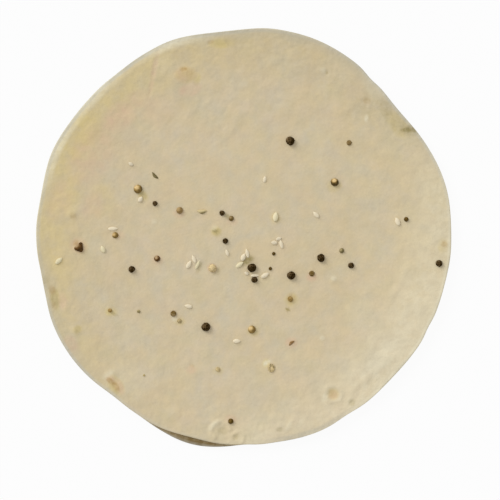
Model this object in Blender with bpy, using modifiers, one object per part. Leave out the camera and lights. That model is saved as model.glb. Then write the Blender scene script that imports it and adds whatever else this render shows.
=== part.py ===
"""A raw papadum: one thin, slightly dished sheet of dried dough with whole spices set in its top.

The sheet lies with its middle flat on the table, centred on the origin, +Z up. Its upper-left side, as seen
from above with +Y up the page, is towards -X +Y. Bearings are in degrees, counter-clockwise from +X.
"""

import math
import random

import bmesh
import bpy
from mathutils import Matrix, Vector

MM = 0.001

# The sheet.
SHEET_RADIUS = 90.0 * MM
SHEET_THICKNESS = 1.0 * MM
SECTORS = 120
FLAT_RADIUS = 46.0 * MM         # inside this the underside lies on the table
RIM_LIFT = 2.1 * MM             # how far the rim stands up, on average

# Rings of the top and of the underside, as radii of the round sheet.
TOP_RINGS = (9.0 * MM, 22.0 * MM, 35.0 * MM, FLAT_RADIUS, 56.0 * MM, 65.0 * MM, 73.0 * MM, 80.0 * MM,
             84.5 * MM, 87.2 * MM)
UNDER_RINGS = (86.0 * MM, 79.0 * MM, 69.0 * MM, 57.0 * MM, FLAT_RADIUS, 22.0 * MM)

# The rounded edge, as steps in from the rim and down from the top. The last two belong to the under layer,
# which shows below the top layer where the edge has split.
TOP_LAYER_EDGE = ((1.3 * MM, 0.0), (0.4 * MM, 0.10 * MM), (0.0, 0.35 * MM), (0.08 * MM, 0.50 * MM))
UNDER_LAYER_EDGE = ((0.10 * MM, 0.62 * MM), (0.35 * MM, 0.92 * MM), (1.3 * MM, SHEET_THICKNESS))

# Where the rim runs out past the round or falls short of it: bearing, half-width in degrees, reach.
RIM_BAYS = (
    (12.0, 5.0, 0.4 * MM),
    (26.0, 4.0, -0.3 * MM),
    (40.0, 8.5, -3.1 * MM),
    (51.5, 2.2, -0.7 * MM),
    (73.0, 9.0, 1.6 * MM),
    (84.0, 4.5, 0.7 * MM),
    (97.0, 4.0, -0.1 * MM),
    (110.5, 6.0, 1.35 * MM),
    (121.0, 4.0, 0.4 * MM),
    (133.0, 3.0, 0.2 * MM),
    (145.0, 8.5, 0.5 * MM),
    (156.0, 5.5, 1.1 * MM),
    (169.0, 4.5, -0.2 * MM),
    (176.0, 3.0, 0.2 * MM),
    (190.5, 4.0, -0.8 * MM),
    (197.0, 3.0, -0.4 * MM),
    (208.5, 7.0, 0.95 * MM),
    (217.5, 5.0, 0.35 * MM),
    (231.0, 4.5, -1.1 * MM),
    (239.0, 3.0, -0.4 * MM),
    (255.5, 4.5, -0.6 * MM),
    (270.0, 2.5, -0.5 * MM),
    (279.0, 4.0, -0.4 * MM),
    (300.0, 3.5, -0.9 * MM),
    (316.0, 9.5, -1.7 * MM),
    (334.0, 2.0, -0.5 * MM),
    (345.0, 12.0, -0.85 * MM),
    (355.0, 4.0, 0.35 * MM),
)

# Slow waves of the rim's height round the sheet: number of waves, height, bearing of a crest.
RIM_WAVES = (
    (1, 0.7 * MM, 325.0),
    (2, 0.45 * MM, 15.0),
    (3, 0.30 * MM, 75.0),
    (5, 0.15 * MM, 200.0),
)

# The lip that turns down along the upper left, and the split edge at the bottom, where the under layer
# stands out below the top one: bearing of the middle, half-width in degrees.
LIP_BEARING = 134.0
LIP_HALF_WIDTH = 30.0
LIP_DROP = 0.45 * MM
LIP_BREADTH = 3.5 * MM
SPLIT_BEARING = 255.6
SPLIT_HALF_WIDTH = 6.4
SPLIT_REACH = 2.95 * MM
SPLIT_DROOP = 0.45 * MM

# Low blisters of the sheet: x, y, radius, height. Each is the cap of a flat ball, BLISTER_BALL thick.
BLISTER_BALL = 1.2 * MM
BLISTERS = (
    (38.5 * MM, -67.5 * MM, 4.0 * MM, 0.40 * MM),
    (-10.0 * MM, -82.0 * MM, 4.2 * MM, 0.40 * MM),
    (-57.0 * MM, -60.0 * MM, 3.6 * MM, 0.40 * MM),
    (20.0 * MM, -80.5 * MM, 3.0 * MM, 0.35 * MM),
    (-26.0 * MM, 72.5 * MM, 3.8 * MM, 0.35 * MM),
    (36.5 * MM, 71.0 * MM, 3.2 * MM, 0.35 * MM),
    (39.5 * MM, -18.0 * MM, 3.0 * MM, 0.30 * MM),
    (-74.0 * MM, 10.0 * MM, 3.4 * MM, 0.35 * MM),
    (-72.5 * MM, -40.0 * MM, 3.0 * MM, 0.35 * MM),
    (-12.0 * MM, 3.0 * MM, 1.8 * MM, 0.45 * MM),
)

# Spices, as x, y, breadth. A long one also has its width and the bearing that it points along.
PEPPERCORNS = (
    (20.0 * MM, 42.1 * MM, 3.9 * MM),
    (3.5 * MM, -12.9 * MM, 3.9 * MM),
    (20.5 * MM, -16.2 * MM, 3.7 * MM),
    (33.4 * MM, -8.7 * MM, 3.5 * MM),
    (-16.5 * MM, -38.5 * MM, 3.9 * MM),
    (84.4 * MM, -11.0 * MM, 3.0 * MM),
    (-48.7 * MM, -13.6 * MM, 2.9 * MM),
    (4.5 * MM, -18.1 * MM, 2.8 * MM),
    (46.4 * MM, -11.9 * MM, 2.7 * MM),
)
BLACK_SEEDS = (
    (-38.6 * MM, 15.0 * MM, 2.2 * MM),
    (-9.5 * MM, 10.8 * MM, 2.3 * MM),
    (-8.1 * MM, -1.3 * MM, 2.4 * MM),
    (12.9 * MM, -6.8 * MM, 1.5 * MM),
    (11.4 * MM, -13.3 * MM, 1.5 * MM),
    (-5.7 * MM, -79.4 * MM, 2.4 * MM),
    (70.3 * MM, 8.1 * MM, 2.0 * MM),
    (-43.3 * MM, -59.5 * MM, 0.9 * MM),
)
CORIANDER_SEEDS = (
    (-46.0 * MM, 21.2 * MM, 3.8 * MM),
    (39.3 * MM, 24.2 * MM, 3.6 * MM),
    (-13.7 * MM, -13.1 * MM, 3.5 * MM),
    (3.4 * MM, -39.7 * MM, 3.4 * MM),
    (-27.9 * MM, 12.0 * MM, 3.0 * MM),
    (20.1 * MM, -26.5 * MM, 2.4 * MM),
    (-37.7 * MM, -8.9 * MM, 2.7 * MM),
    (-55.8 * MM, 1.2 * MM, 2.7 * MM),
    (29.4 * MM, -15.4 * MM, 2.5 * MM),
    (-30.6 * MM, -32.8 * MM, 2.6 * MM),
    (-5.5 * MM, 8.5 * MM, 2.3 * MM),
    (45.6 * MM, 41.3 * MM, 2.3 * MM),
    (42.4 * MM, -5.5 * MM, 2.2 * MM),
    (-58.1 * MM, -31.4 * MM, 1.8 * MM),
    (-45.7 * MM, -31.8 * MM, 1.5 * MM),
    (-28.0 * MM, -36.0 * MM, 2.0 * MM),
    (-11.3 * MM, -57.0 * MM, 2.0 * MM),
)
SESAME_SEEDS = (
    (-49.1 * MM, 32.1 * MM, 2.4 * MM, 1.6 * MM, 150.0),
    (-44.9 * MM, 16.8 * MM, 2.7 * MM, 2.0 * MM, 60.0),
    (-56.8 * MM, 4.0 * MM, 4.2 * MM, 1.8 * MM, 2.0),
    (-61.2 * MM, -4.9 * MM, 3.2 * MM, 2.0 * MM, 115.0),
    (-80.2 * MM, -9.9 * MM, 3.8 * MM, 2.1 * MM, 42.0),
    (9.0 * MM, 25.5 * MM, 3.0 * MM, 1.6 * MM, 80.0),
    (13.7 * MM, 9.2 * MM, 4.1 * MM, 2.4 * MM, 82.0),
    (31.3 * MM, 10.1 * MM, 3.4 * MM, 1.9 * MM, 135.0),
    (15.1 * MM, -0.3 * MM, 2.7 * MM, 1.6 * MM, 20.0),
    (13.1 * MM, -2.0 * MM, 2.8 * MM, 1.9 * MM, 175.0),
    (16.2 * MM, -2.7 * MM, 3.9 * MM, 1.7 * MM, 105.0),
    (-7.3 * MM, -6.4 * MM, 3.0 * MM, 1.6 * MM, 108.0),
    (1.4 * MM, -6.6 * MM, 3.9 * MM, 1.7 * MM, 102.0),
    (-0.3 * MM, -8.3 * MM, 3.4 * MM, 2.1 * MM, 68.0),
    (-1.9 * MM, -11.6 * MM, 3.8 * MM, 1.9 * MM, 35.0),
    (1.1 * MM, -15.3 * MM, 2.2 * MM, 1.6 * MM, 150.0),
    (4.7 * MM, -16.3 * MM, 3.6 * MM, 1.6 * MM, 2.0),
    (9.1 * MM, -16.2 * MM, 3.9 * MM, 2.1 * MM, 30.0),
    (-23.9 * MM, -11.5 * MM, 3.9 * MM, 2.0 * MM, 60.0),
    (-21.7 * MM, -9.2 * MM, 3.6 * MM, 1.7 * MM, 113.0),
    (-20.1 * MM, -11.6 * MM, 4.2 * MM, 1.4 * MM, 66.0),
    (-24.1 * MM, -29.6 * MM, 3.4 * MM, 1.8 * MM, 168.0),
    (-3.1 * MM, -44.7 * MM, 3.3 * MM, 2.0 * MM, 0.0),
    (66.6 * MM, 7.1 * MM, 3.8 * MM, 2.2 * MM, 112.0),
)
CUMIN_SEEDS = (
    (-38.7 * MM, 26.9 * MM, 3.9 * MM, 1.3 * MM, 133.0),
    (-18.2 * MM, 11.4 * MM, 4.4 * MM, 1.8 * MM, 182.0),
    (20.5 * MM, -45.4 * MM, 3.2 * MM, 1.3 * MM, 40.0),
)
BROKEN_SEED = (-71.3 * MM, -3.8 * MM, 4.2 * MM)
HUSK_RING = (11.9 * MM, -56.4 * MM, 1.45 * MM, 0.40 * MM)   # x, y, radius of the ring, radius of its wall

# How a spice stands in the dough: its height as a share of its breadth, and how much of that is sunk.
PEPPER_HEIGHT_SHARE = 0.86
ROUND_HEIGHT_SHARE = 0.66
LONG_HEIGHT_SHARE = 0.62
SUNK_SHARE = 0.26

# Colours, as linear red, green, blue, then roughness.
FINISHES = {
    "dough": ((0.62, 0.52, 0.35), 0.85),
    "peppercorn": ((0.020, 0.016, 0.010), 0.75),
    "coriander": ((0.30, 0.17, 0.07), 0.70),
    "sesame": ((0.83, 0.75, 0.56), 0.55),
    "cumin": ((0.16, 0.11, 0.05), 0.70),
}

RANDOM_SEED = 11


def finish(name):
    """The material of one kind of surface."""
    material = bpy.data.materials.get(name)
    if material:
        return material
    colour, roughness = FINISHES[name]
    material = bpy.data.materials.new(name)
    material.use_nodes = True
    surface = material.node_tree.nodes["Principled BSDF"]
    surface.inputs["Base Color"].default_value = (*colour, 1.0)
    surface.inputs["Roughness"].default_value = roughness
    surface.inputs["Metallic"].default_value = 0.0
    return material


def ease(share):
    """A smooth step from 0 to 1."""
    share = min(max(share, 0.0), 1.0)
    return share * share * (3.0 - 2.0 * share)


def turn_between(bearing, other):
    """The angle from one bearing to another, from -180 to 180 degrees."""
    return (bearing - other + 180.0) % 360.0 - 180.0


def bell(bearing, middle, half_width):
    """A bell curve round the rim: 1 at the middle bearing, fading to 0 on both sides."""
    return math.exp(-0.5 * (turn_between(bearing, middle) / half_width) ** 2)


def rim_reach(bearing):
    """How far the top layer's rim lies outside the round, or inside it where negative."""
    return sum(reach * bell(bearing, middle, width) for middle, width, reach in RIM_BAYS)


def rim_height(bearing):
    """How far the rim stands above the flat middle."""
    waves = (height * math.cos(count * math.radians(bearing - crest)) for count, height, crest in RIM_WAVES)
    return RIM_LIFT + sum(waves)


def lip_strength(bearing):
    """How much of the turned-down lip shows at a bearing, from 0 to 1."""
    return ease((LIP_HALF_WIDTH - abs(turn_between(bearing, LIP_BEARING))) / 10.0 + 0.5)


def sheet_lift(radius, bearing):
    """The height of the sheet's underside at a radius and a bearing."""
    dish = ease((radius - FLAT_RADIUS) / (SHEET_RADIUS - FLAT_RADIUS) * 0.8) / ease(0.8)
    lip = ease((radius - SHEET_RADIUS + LIP_BREADTH) / LIP_BREADTH)
    return rim_height(bearing) * dish - LIP_DROP * lip_strength(bearing) * lip


def top_height(x, y):
    """The height of the sheet's top at a place on it."""
    bearing = math.degrees(math.atan2(y, x))
    return SHEET_THICKNESS + sheet_lift(math.hypot(x, y), bearing)


def tilt_of_top(x, y):
    """The turn that stands a thing square on the sheet's top at a place on it."""
    step = 0.5 * MM
    slope_x = (top_height(x + step, y) - top_height(x - step, y)) / (2.0 * step)
    slope_y = (top_height(x, y + step) - top_height(x, y - step)) / (2.0 * step)
    upright = Vector((-slope_x, -slope_y, 1.0))
    return Vector((0.0, 0.0, 1.0)).rotation_difference(upright).to_matrix().to_4x4()


def collection(name):
    """A new collection of the scene."""
    made = bpy.data.collections.new(name)
    bpy.context.scene.collection.children.link(made)
    return made


def add_object(name, mesh, home, surface):
    """A new object of a mesh, in a collection, with one material."""
    made = bpy.data.objects.new(name, mesh)
    mesh.materials.append(finish(surface))
    home.objects.link(made)
    return made


def sheet_profile():
    """Half the sheet's section, from the middle of its top round the edge to the middle of its underside."""
    points = [(0.0, SHEET_THICKNESS)]
    points += [(radius, SHEET_THICKNESS) for radius in TOP_RINGS]
    for step_in, step_down in TOP_LAYER_EDGE + UNDER_LAYER_EDGE:
        points.append((SHEET_RADIUS - step_in, SHEET_THICKNESS - step_down))
    points += [(radius, 0.0) for radius in UNDER_RINGS]
    points.append((0.0, 0.0))
    return points


def turned_sheet(home):
    """The round, level sheet: its section turned once round the middle."""
    points = sheet_profile()
    profile = bpy.data.meshes.new("sheet_profile")
    edges = [(index, index + 1) for index in range(len(points) - 1)]
    profile.from_pydata([(x, 0.0, z) for x, z in points], edges, [])
    sheet = add_object("papadum", profile, home, "dough")
    screw = sheet.modifiers.new("turned", "SCREW")
    screw.axis = "Z"
    screw.angle = math.tau
    screw.steps = SECTORS
    screw.render_steps = SECTORS
    screw.use_merge_vertices = True
    screw.merge_threshold = 0.00001
    apply_modifiers(sheet)
    return sheet


def apply_modifiers(thing):
    """Turns an object's modifiers into its mesh."""
    view = bpy.context.evaluated_depsgraph_get()
    mesh = bpy.data.meshes.new_from_object(thing.evaluated_get(view))
    thing.modifiers.clear()
    thing.data = mesh


def warp_sheet(sheet):
    """Gives the round sheet its uneven rim, its dished form, its lip and its split edge."""
    split_from = SHEET_RADIUS - UNDER_LAYER_EDGE[-1][0] - 0.1 * MM
    split_below = SHEET_THICKNESS - 0.56 * MM
    for vertex in sheet.data.vertices:
        x, y, height = vertex.co
        radius = math.hypot(x, y)
        if radius < MM:
            continue
        bearing = math.degrees(math.atan2(y, x))
        out = rim_reach(bearing) * ease((radius / SHEET_RADIUS - 0.5) / 0.5)
        lift = sheet_lift(radius, bearing)
        if radius > split_from and height < split_below:
            split = bell(bearing, SPLIT_BEARING, SPLIT_HALF_WIDTH)
            out += SPLIT_REACH * split
            lift -= SPLIT_DROOP * split
        vertex.co = ((x / radius) * (radius + out), (y / radius) * (radius + out), height + lift)


def ball(name, sides, rings):
    """A closed ball of unit radius with few faces, as a mesh."""
    mesh = bpy.data.meshes.new(name)
    cage = bmesh.new()
    bmesh.ops.create_uvsphere(cage, u_segments=sides, v_segments=rings, radius=1.0)
    cage.to_mesh(mesh)
    cage.free()
    return mesh


def set_in_dough(name, mesh, home, surface, place, half_sizes, bearing, sunk):
    """Stretches a unit mesh to its half sizes, turns it to a bearing and sinks it into the sheet's top."""
    x, y = place
    rise = half_sizes[2] * (1.0 - 2.0 * sunk)
    foot = Matrix.Translation((x, y, top_height(x, y))) @ tilt_of_top(x, y)
    turn = Matrix.Rotation(math.radians(bearing), 4, "Z")
    mesh.transform(foot @ Matrix.Translation((0.0, 0.0, rise)) @ turn @ Matrix.Diagonal((*half_sizes, 1.0)))
    return add_object(name, mesh, home, surface)


def round_spices(home, rng, name, surface, table, height_share, shape):
    """Peppercorns, coriander and other round seeds, each a little uneven."""
    sides, rings, roughness = shape
    for number, (x, y, breadth) in enumerate(table, start=1):
        mesh = ball(name, sides, rings)
        for vertex in mesh.vertices:
            vertex.co *= 1.0 + rng.uniform(-roughness, roughness)
        half = breadth / 2
        half_sizes = (half * rng.uniform(0.96, 1.06), half * rng.uniform(0.94, 1.02), half * height_share)
        turn = rng.uniform(0.0, 360.0)
        set_in_dough(f"{name}_{number}", mesh, home, surface, (x, y), half_sizes, turn, SUNK_SHARE)


def sesame(home):
    """Sesame seeds: flat teardrops, pointed towards their bearing."""
    for number, (x, y, length, width, bearing) in enumerate(SESAME_SEEDS, start=1):
        mesh = ball("sesame", 7, 4)
        for vertex in mesh.vertices:
            taper = 1.0 - 0.45 * ease(0.5 + 0.5 * vertex.co.x)
            vertex.co.y *= taper
            vertex.co.z *= 0.5 + 0.5 * taper
        half_sizes = (length / 2, width / 2, width / 2 * LONG_HEIGHT_SHARE)
        set_in_dough(f"sesame_{number}", mesh, home, "sesame", (x, y), half_sizes, bearing, SUNK_SHARE)


def cumin(home):
    """Cumin seeds: slim, pointed at both ends and slightly bent."""
    bend = 0.25
    for number, (x, y, length, width, bearing) in enumerate(CUMIN_SEEDS, start=1):
        mesh = ball("cumin", 8, 4)
        for vertex in mesh.vertices:
            vertex.co.y += bend * (1.0 - vertex.co.x ** 2) - bend / 2
        half_sizes = (length / 2, width / 2, width / 2 * LONG_HEIGHT_SHARE)
        set_in_dough(f"cumin_{number}", mesh, home, "cumin", (x, y), half_sizes, bearing, SUNK_SHARE)


def broken_seed(home):
    """A large seed that has burst open, with three ragged corners."""
    x, y, breadth = BROKEN_SEED
    points = 3
    mesh = ball("broken_seed", 4 * points, 4)
    for vertex in mesh.vertices:
        corner = math.degrees(math.atan2(vertex.co.y, vertex.co.x)) * points
        ragged = 0.88 + 0.25 * math.cos(math.radians(corner))
        vertex.co.x *= ragged
        vertex.co.y *= ragged
    half_sizes = (breadth / 2, breadth / 2 * 0.95, breadth / 2 * 0.55)
    set_in_dough("broken_seed", mesh, home, "coriander", (x, y), half_sizes, 70.0, SUNK_SHARE)


def husk_ring(home):
    """An empty husk that stands as a low oval ring on the sheet."""
    x, y, ring_radius, wall_radius = HUSK_RING
    bpy.ops.mesh.primitive_torus_add(
        major_radius=ring_radius,
        minor_radius=wall_radius,
        major_segments=12,
        minor_segments=6,
        location=(x, y, top_height(x, y) + wall_radius * 0.3),
    )
    made = bpy.context.object
    made.name = "husk_ring"
    made.data.transform(Matrix.Diagonal((0.8, 1.0, 1.0, 1.0)))
    made.data.materials.append(finish("coriander"))
    for owner in list(made.users_collection):
        owner.objects.unlink(made)
    home.objects.link(made)


def blisters(home):
    """Low domes where the dough has puffed a little."""
    for number, (x, y, radius, height) in enumerate(BLISTERS, start=1):
        mesh = ball("blister", 10, 6)
        cap_share = math.sqrt(1.0 - (1.0 - height / (BLISTER_BALL / 2)) ** 2)
        half_sizes = (radius / cap_share, radius / cap_share, BLISTER_BALL / 2)
        sunk = 1.0 - height / BLISTER_BALL
        set_in_dough(f"blister_{number}", mesh, home, "dough", (x, y), half_sizes, 0.0, sunk)


def fuse(sheet, toppings):
    """Joins everything in the collection to the sheet as one closed solid."""
    union = sheet.modifiers.new("fused", "BOOLEAN")
    union.operation = "UNION"
    union.operand_type = "COLLECTION"
    union.collection = toppings
    union.solver = "EXACT"
    union.material_mode = "TRANSFER"
    apply_modifiers(sheet)
    for thing in list(toppings.objects):
        bpy.data.objects.remove(thing, do_unlink=True)
    bpy.data.collections.remove(toppings)


def build():
    """The whole papadum, as one object."""
    for thing in list(bpy.data.objects):
        bpy.data.objects.remove(thing, do_unlink=True)
    rng = random.Random(RANDOM_SEED)
    papadum = collection("papadum")
    toppings = collection("toppings")
    sheet = turned_sheet(papadum)
    warp_sheet(sheet)
    blisters(toppings)
    pepper, seed = PEPPER_HEIGHT_SHARE, ROUND_HEIGHT_SHARE
    round_spices(toppings, rng, "peppercorn", "peppercorn", PEPPERCORNS, pepper, (9, 5, 0.05))
    round_spices(toppings, rng, "black_seed", "peppercorn", BLACK_SEEDS, pepper, (7, 4, 0.03))
    round_spices(toppings, rng, "coriander", "coriander", CORIANDER_SEEDS, seed, (8, 4, 0.02))
    sesame(toppings)
    cumin(toppings)
    broken_seed(toppings)
    husk_ring(toppings)
    fuse(sheet, toppings)
    sheet.data.shade_smooth()
    sheet.data.set_sharp_from_angle(angle=math.radians(40.0))


build()
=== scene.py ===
import math
import random

import bpy
import numpy as np
from mathutils import Matrix, Vector


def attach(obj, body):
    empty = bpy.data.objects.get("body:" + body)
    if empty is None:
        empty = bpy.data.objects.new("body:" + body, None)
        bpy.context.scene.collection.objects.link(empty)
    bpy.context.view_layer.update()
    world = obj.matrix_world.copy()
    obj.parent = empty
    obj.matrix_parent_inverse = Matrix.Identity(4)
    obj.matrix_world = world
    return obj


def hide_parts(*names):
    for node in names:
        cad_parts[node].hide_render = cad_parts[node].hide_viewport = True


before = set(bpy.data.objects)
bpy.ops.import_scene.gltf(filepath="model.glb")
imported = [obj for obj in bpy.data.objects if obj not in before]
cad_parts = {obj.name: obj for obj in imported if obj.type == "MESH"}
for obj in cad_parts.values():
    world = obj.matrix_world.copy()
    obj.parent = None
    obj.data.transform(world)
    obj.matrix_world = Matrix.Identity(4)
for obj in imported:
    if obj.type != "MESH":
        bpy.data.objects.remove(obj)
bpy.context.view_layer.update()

bl_info = {
    "name": "Papadum",
    "version": (1, 0, 0),
    "blender": (4, 5, 0),
    "location": "3D View > Sidebar > Papadum",
    "description": "A raw papadum: a dished sheet of dried dough with whole spices, on a plain stage",
    "category": "Add Mesh",
}

NODE = "papadum"
BODY = "root"
MM = 0.001


def in_metres(lengths, rows):
    """A table's rows, with the cells whose places are in lengths brought from millimetres to metres."""
    return [[cell * MM if place in lengths else cell for place, cell in enumerate(row)] for row in rows]


# The sheet, as in the solid: +Y is up the page as seen from above, and bearings are in degrees,
# counter-clockwise from +X. Lengths in the tables are in millimetres.
SHEET_RADIUS = 90.0 * MM
SHEET_THICKNESS = 1.0 * MM
FLAT_RADIUS = 46.0 * MM
RIM_LIFT = 2.1 * MM
DISH_SHARE = 0.8                # how far along its smooth step the dish has come at the rim
RIM_STEPS = 1056                # vertices round the rim, four times those across the top
UNDER_RINGS = (0.985, 0.955, 0.915, 0.87, 0.82, 0.765, 0.705, 0.64, 0.575, 0.51, 0.24)
RIM_INSET = 0.05 * MM           # keeps the finished rim within the solid's
RIM_WARP_FROM = 0.5             # the share of the radius from where the sheet follows its uneven rim
SMOOTH_UP_TO = 50.0             # degrees between faces that are shaded as one surface
TOLERANCE = 0.01 * MM           # less than any real step of the mesh

# Where the rim runs out past the round or falls short of it: bearing, half-width in degrees, reach.
RIM_BAYS = in_metres((2,), (
    (12, 5, 0.4), (26, 4, -0.3), (40, 8.5, -3.1), (51.5, 2.2, -0.7), (73, 9, 1.6), (84, 4.5, 0.7),
    (97, 4, -0.1), (110.5, 6, 1.35), (121, 4, 0.4), (133, 3, 0.2), (145, 8.5, 0.5), (156, 5.5, 1.1),
    (169, 4.5, -0.2), (176, 3, 0.2), (190.5, 4, -0.8), (197, 3, -0.4), (208.5, 7, 0.95), (217.5, 5, 0.35),
    (231, 4.5, -1.1), (239, 3, -0.4), (255.5, 4.5, -0.6), (270, 2.5, -0.5), (279, 4, -0.4),
    (300, 3.5, -0.9), (316, 9.5, -1.7), (334, 2, -0.5), (345, 12, -0.85), (355, 4, 0.35),
))

# Slow waves of the rim's height round the sheet: number of waves, height, bearing of a crest.
RIM_WAVES = in_metres((1,), (
    (1, 0.7, 325),
    (2, 0.45, 15),
    (3, 0.3, 75),
    (5, 0.15, 200),
))

# The lip that turns down along the upper left, and the split edge at the bottom.
LIP_BEARING = 134.0
LIP_HALF_WIDTH = 30.0
LIP_FADE = 10.0                 # degrees in which the lip fades out
LIP_DROP = 0.45 * MM
LIP_BREADTH = 3.5 * MM
SPLIT_BEARING = 255.6
SPLIT_HALF_WIDTH = 6.4
SPLIT_REACH = 2.95 * MM
SPLIT_DROOP = 0.45 * MM

# The edge's section from the top down: share of the split's reach, step in from the rim, step down.
EDGE_SECTION = in_metres((1, 2), (
    (0, 0.28, 0.08),
    (0, 0.06, 0.2),
    (0, 0, 0.36),
    (0, 0.08, 0.52),
    (0.03, 0.12, 0.6),
    (0.5, 0.12, 0.63),
    (0.93, 0.12, 0.66),
    (1, 0.1, 0.78),
    (1, 0.3, 0.96),
))
UNDER_LAYER_FROM = 4            # the first step of the section that lies on the under layer
SHADE_FADING_FROM = 6               # the first step of it where the painted shade lightens towards the outer rim's grey
SPLIT_SHADE_LEAST = 0.75            # strength of the painted shade at the ends of the split
SPLIT_SHADE_SKEW = 1.5              # degrees from the middle of the split to where the painted shade is darkest
SPLIT_SHADE_WIDTH_SHARE = 0.7       # half-width of the darkest stretch of painted shade, as a share of the split's

# The unevenness of the dough: name, size of the lumps, height, share of it that the middle has.
LUMPS = in_metres((1, 2), (
    ("broad_swells", 22, 0.26, 0.7),
    ("orange_peel", 4.4, 0.35, 0.55),
    ("fine_peel", 2.3, 0.21, 0.5),
))
LUMPS_GROW_FROM = 0.35          # the share of the radius from where the lumps grow towards the rim
LUMPS_GROW_OVER = 0.5           # the share of the radius that this takes
LUMPS_FADE = 1.2 * MM           # how near the rim they have gone
WEIGHT_STEPS = 20               # how finely their strength is told apart
PULL_STEP = 0.7 * MM            # the distance between the vertices that are pulled along a line

# Places worked on the top: x, y, reach of the soft falloff, height.
PUSHES = in_metres(range(4), (
    (38.5, -67.5, 2.2, -0.2), (-9.5, -83.5, 3.2, -0.25), (-57.5, -59.5, 4.2, 0.4),
    (-56.2, -63.4, 2.4, -0.25), (15.5, -83, 2.2, -0.22), (-26, 72.5, 4.2, 0.34), (34, 72.3, 3, 0.3),
    (35.8, 71.6, 1.6, -0.4), (39.5, -18, 2.2, 0.3), (34, -43.5, 1.8, 0.24), (-39, 7, 1.8, 0.22),
    (-74.3, 10.5, 3.4, 0.32), (-72.5, -40, 3.4, 0.32), (-72, -39.5, 1.8, -0.25), (-12.3, 3.4, 2.2, 0.4),
    (46.7, -71.2, 1.8, -0.4), (-3.5, -86.2, 1.8, -0.35), (53, 59, 3, -0.2), (53, 52, 1.8, 0.26),
    (62, -52, 5, 0.25), (52, -62, 4, 0.22), (-30, -76, 4, 0.22), (-66, 46, 6, 0.25),
))

# Creases pressed or raised along a line on the top: from x, y, to x, y, half-breadth, height.
CREASES = in_metres(range(6), (
    (-37, 83, -41, 62, 1.4, -0.16),
    (71.5, 47.2, 77, 45.6, 1.6, -0.35),
    (60, -55, 47, -66, 2.2, 0.14),
    (62, -30, 70, -14, 2.4, 0.12),
    (12, 76, 24, 80, 2.4, 0.12),
    (18.6, -83.4, 20.6, -79.4, 1.6, 0.22),
    (-84, -20, -82, -30, 1.8, -0.14),
))

# Patches of fine wrinkles, raised and pressed by turns: x, y, half-length, half-width, bearing of the
# wrinkles, how many, height.
WRINKLES = in_metres((0, 1, 2, 3, 6), (
    (-9, 56, 14, 10, 50, 22, 0.1),
    (14, 71, 8, 14, 12, 10, 0.1),
    (57, 50, 12, 9, 118, 12, 0.12),
))
WRINKLE_LENGTHS = (2.5 * MM, 6.5 * MM)
WRINKLE_LEAN = 0.35             # radians by which one may lean from the patch's bearing
WRINKLE_REACH = 1.3 * MM

# Blisters that stand up as a ring: x, y, ring radius, from and to bearing, half-breadth, height.
RINGS = in_metres((0, 1, 2, 5, 6), (
    (-10, -83.5, 4, 10, 230, 1.7, 0.42),
    (38.5, -67.5, 3.6, 0, 360, 1.8, 0.3),
    (-2.6, -86.6, 2.6, -40, 130, 1.3, 0.26),
))

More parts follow.
